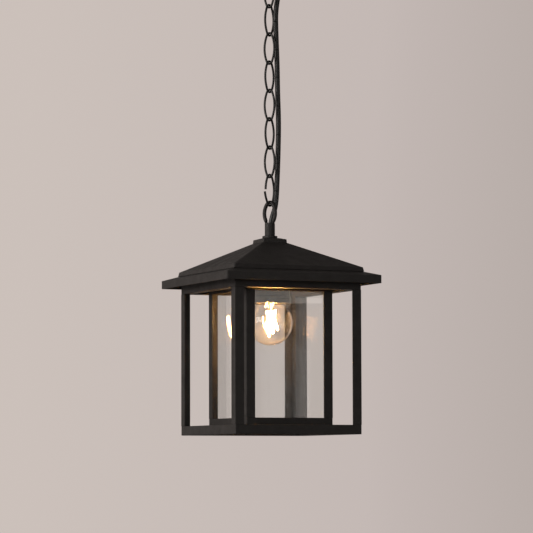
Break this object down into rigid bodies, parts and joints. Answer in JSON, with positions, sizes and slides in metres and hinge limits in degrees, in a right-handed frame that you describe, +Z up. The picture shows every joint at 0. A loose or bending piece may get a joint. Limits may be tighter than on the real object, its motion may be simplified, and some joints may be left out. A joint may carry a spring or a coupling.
{
  "type": "hanging lantern",
  "caption": "Square hanging lantern with a hipped roof, open outer frame, glass inner box and clear screw lamp, hung on a link chain with its cord from a round ceiling canopy.",
  "frame": {"origin": "centre of the ceiling bracket's top face, between its two screw holes, in the ceiling plane", "axes": "+Z up into the ceiling, with the lantern hanging towards -Z; X and Y square to the lantern's glass faces, and the two ceiling screws along X"},
  "size_m": [0.167, 0.167, 0.5095],
  "materials": {
    "black_powder_coat": "fine textured black powder coat",
    "chain_paint": "satin black enamel",
    "cord_sheath": "smooth satin black sheath",
    "black_plastic": "moulded matt black",
    "white_plastic": "moulded off-white",
    "zinc_steel": "zinc plated",
    "black_screws": "black oxide",
    "pane_glass": "clear float glass",
    "bulb_glass": "clear lamp glass",
    "filament": "warm glowing filament rods",
    "lamp_cap": "nickel plated",
    "solder": "tinned",
    "holder_brass": "plain",
    "core_insulation": "smooth insulation"
  },
  "bodies": {
    "ceiling_mount": {"mounting_bracket": "zinc_steel", "ceiling_canopy": "black_powder_coat", "canopy_hook": "black_powder_coat", "canopy_nut": "black_powder_coat", "hook_locknut": "zinc_steel", "cord_grip": "black_plastic", "terminal_block": "white_plastic", "supply_cord_1": "cord_sheath"},
    "chain_link_1": {"chain_link_1": "chain_paint", "supply_cord_2": "cord_sheath"},
    "chain_link_2": {"chain_link_2": "chain_paint", "supply_cord_3": "cord_sheath"},
    "chain_link_3": {"chain_link_3": "chain_paint", "supply_cord_4": "cord_sheath"},
    "chain_link_4": {"chain_link_4": "chain_paint", "supply_cord_5": "cord_sheath"},
    "chain_link_5": {"chain_link_5": "chain_paint", "supply_cord_6": "cord_sheath"},
    "chain_link_6": {"chain_link_6": "chain_paint", "supply_cord_7": "cord_sheath"},
    "chain_link_7": {"chain_link_7": "chain_paint", "supply_cord_8": "cord_sheath"},
    "chain_link_8": {"chain_link_8": "chain_paint"},
    "lantern": {"suspension_loop": "black_powder_coat", "loop_collar": "black_powder_coat", "top_cap": "black_powder_coat", "roof_shell": "black_powder_coat", "roof_brim": "black_powder_coat", "lamp_plate": "black_powder_coat", "loop_locknut": "zinc_steel", "lamp_bracket": "zinc_steel", "lampholder_shell": "black_plastic", "lampholder_insert": "holder_brass", "lampholder_contacts": "holder_brass", "lead_wires": "core_insulation", "outer_bottom_frame": "black_powder_coat", "outer_top_frame": "black_powder_coat", "inner_bottom_frame": "black_powder_coat", "inner_top_frame": "black_powder_coat", "outer_post_front_left": "black_powder_coat", "outer_post_front_right": "black_powder_coat", "outer_post_back_right": "black_powder_coat", "outer_post_back_left": "black_powder_coat", "inner_post_front_left": "black_powder_coat", "inner_post_front_right": "black_powder_coat", "inner_post_back_right": "black_powder_coat", "inner_post_back_left": "black_powder_coat", "glass_front": "pane_glass", "glass_right": "pane_glass", "glass_back": "pane_glass", "glass_left": "pane_glass", "glass_clips": "zinc_steel", "frame_screws": "black_screws", "panel_screws": "black_screws", "supply_cord_9": "cord_sheath"},
    "bulb": {"bulb_envelope": "bulb_glass", "bulb_cap": "lamp_cap", "bulb_contact": "solder", "bulb_stem": "bulb_glass", "bulb_filaments": "filament"}
  },
  "joints": [
    {"name": "chain_link_1_swing", "type": "hinge", "parent": "ceiling_mount", "child": "chain_link_1", "pos_m": [0, 0, -0.052], "axis": [0.9063, 0.4226, 0], "range_deg": [-8, 8], "deforming": ["supply_cord_1"]},
    {"name": "chain_link_2_swing", "type": "hinge", "parent": "chain_link_1", "child": "chain_link_2", "pos_m": [0, 0, -0.07975], "axis": [0.4226, -0.9063, 0], "range_deg": [-8, 8], "deforming": ["supply_cord_2"]},
    {"name": "chain_link_3_swing", "type": "hinge", "parent": "chain_link_2", "child": "chain_link_3", "pos_m": [0, 0, -0.1084], "axis": [0.9063, 0.4226, 0], "range_deg": [-8, 8], "deforming": ["supply_cord_3"]},
    {"name": "chain_link_4_swing", "type": "hinge", "parent": "chain_link_3", "child": "chain_link_4", "pos_m": [0, 0, -0.13705], "axis": [0.4226, -0.9063, 0], "range_deg": [-8, 8], "deforming": ["supply_cord_4"]},
    {"name": "chain_link_5_swing", "type": "hinge", "parent": "chain_link_4", "child": "chain_link_5", "pos_m": [0, 0, -0.1657], "axis": [0.9063, 0.4226, 0], "range_deg": [-8, 8], "deforming": ["supply_cord_5"]},
    {"name": "chain_link_6_swing", "type": "hinge", "parent": "chain_link_5", "child": "chain_link_6", "pos_m": [0, 0, -0.19435], "axis": [0.4226, -0.9063, 0], "range_deg": [-8, 8], "deforming": ["supply_cord_6"]},
    {"name": "chain_link_7_swing", "type": "hinge", "parent": "chain_link_6", "child": "chain_link_7", "pos_m": [0, 0, -0.223], "axis": [0.9063, 0.4226, 0], "range_deg": [-8, 8], "deforming": ["supply_cord_7"]},
    {"name": "chain_link_8_swing", "type": "hinge", "parent": "chain_link_7", "child": "chain_link_8", "pos_m": [0, 0, -0.25165], "axis": [0.4226, -0.9063, 0], "range_deg": [-8, 8], "deforming": ["supply_cord_8"]},
    {"name": "lantern_swing", "type": "hinge", "parent": "chain_link_8", "child": "lantern", "pos_m": [0, 0, -0.2803], "axis": [0.9063, 0.4226, 0], "range_deg": [-8, 8], "deforming": ["supply_cord_9"]},
    {"name": "bulb_turn", "type": "hinge", "parent": "lantern", "child": "bulb", "pos_m": [0, 0, -0.3595], "axis": [0, 0, 1], "range_deg": [0, 1080]}
  ]
}
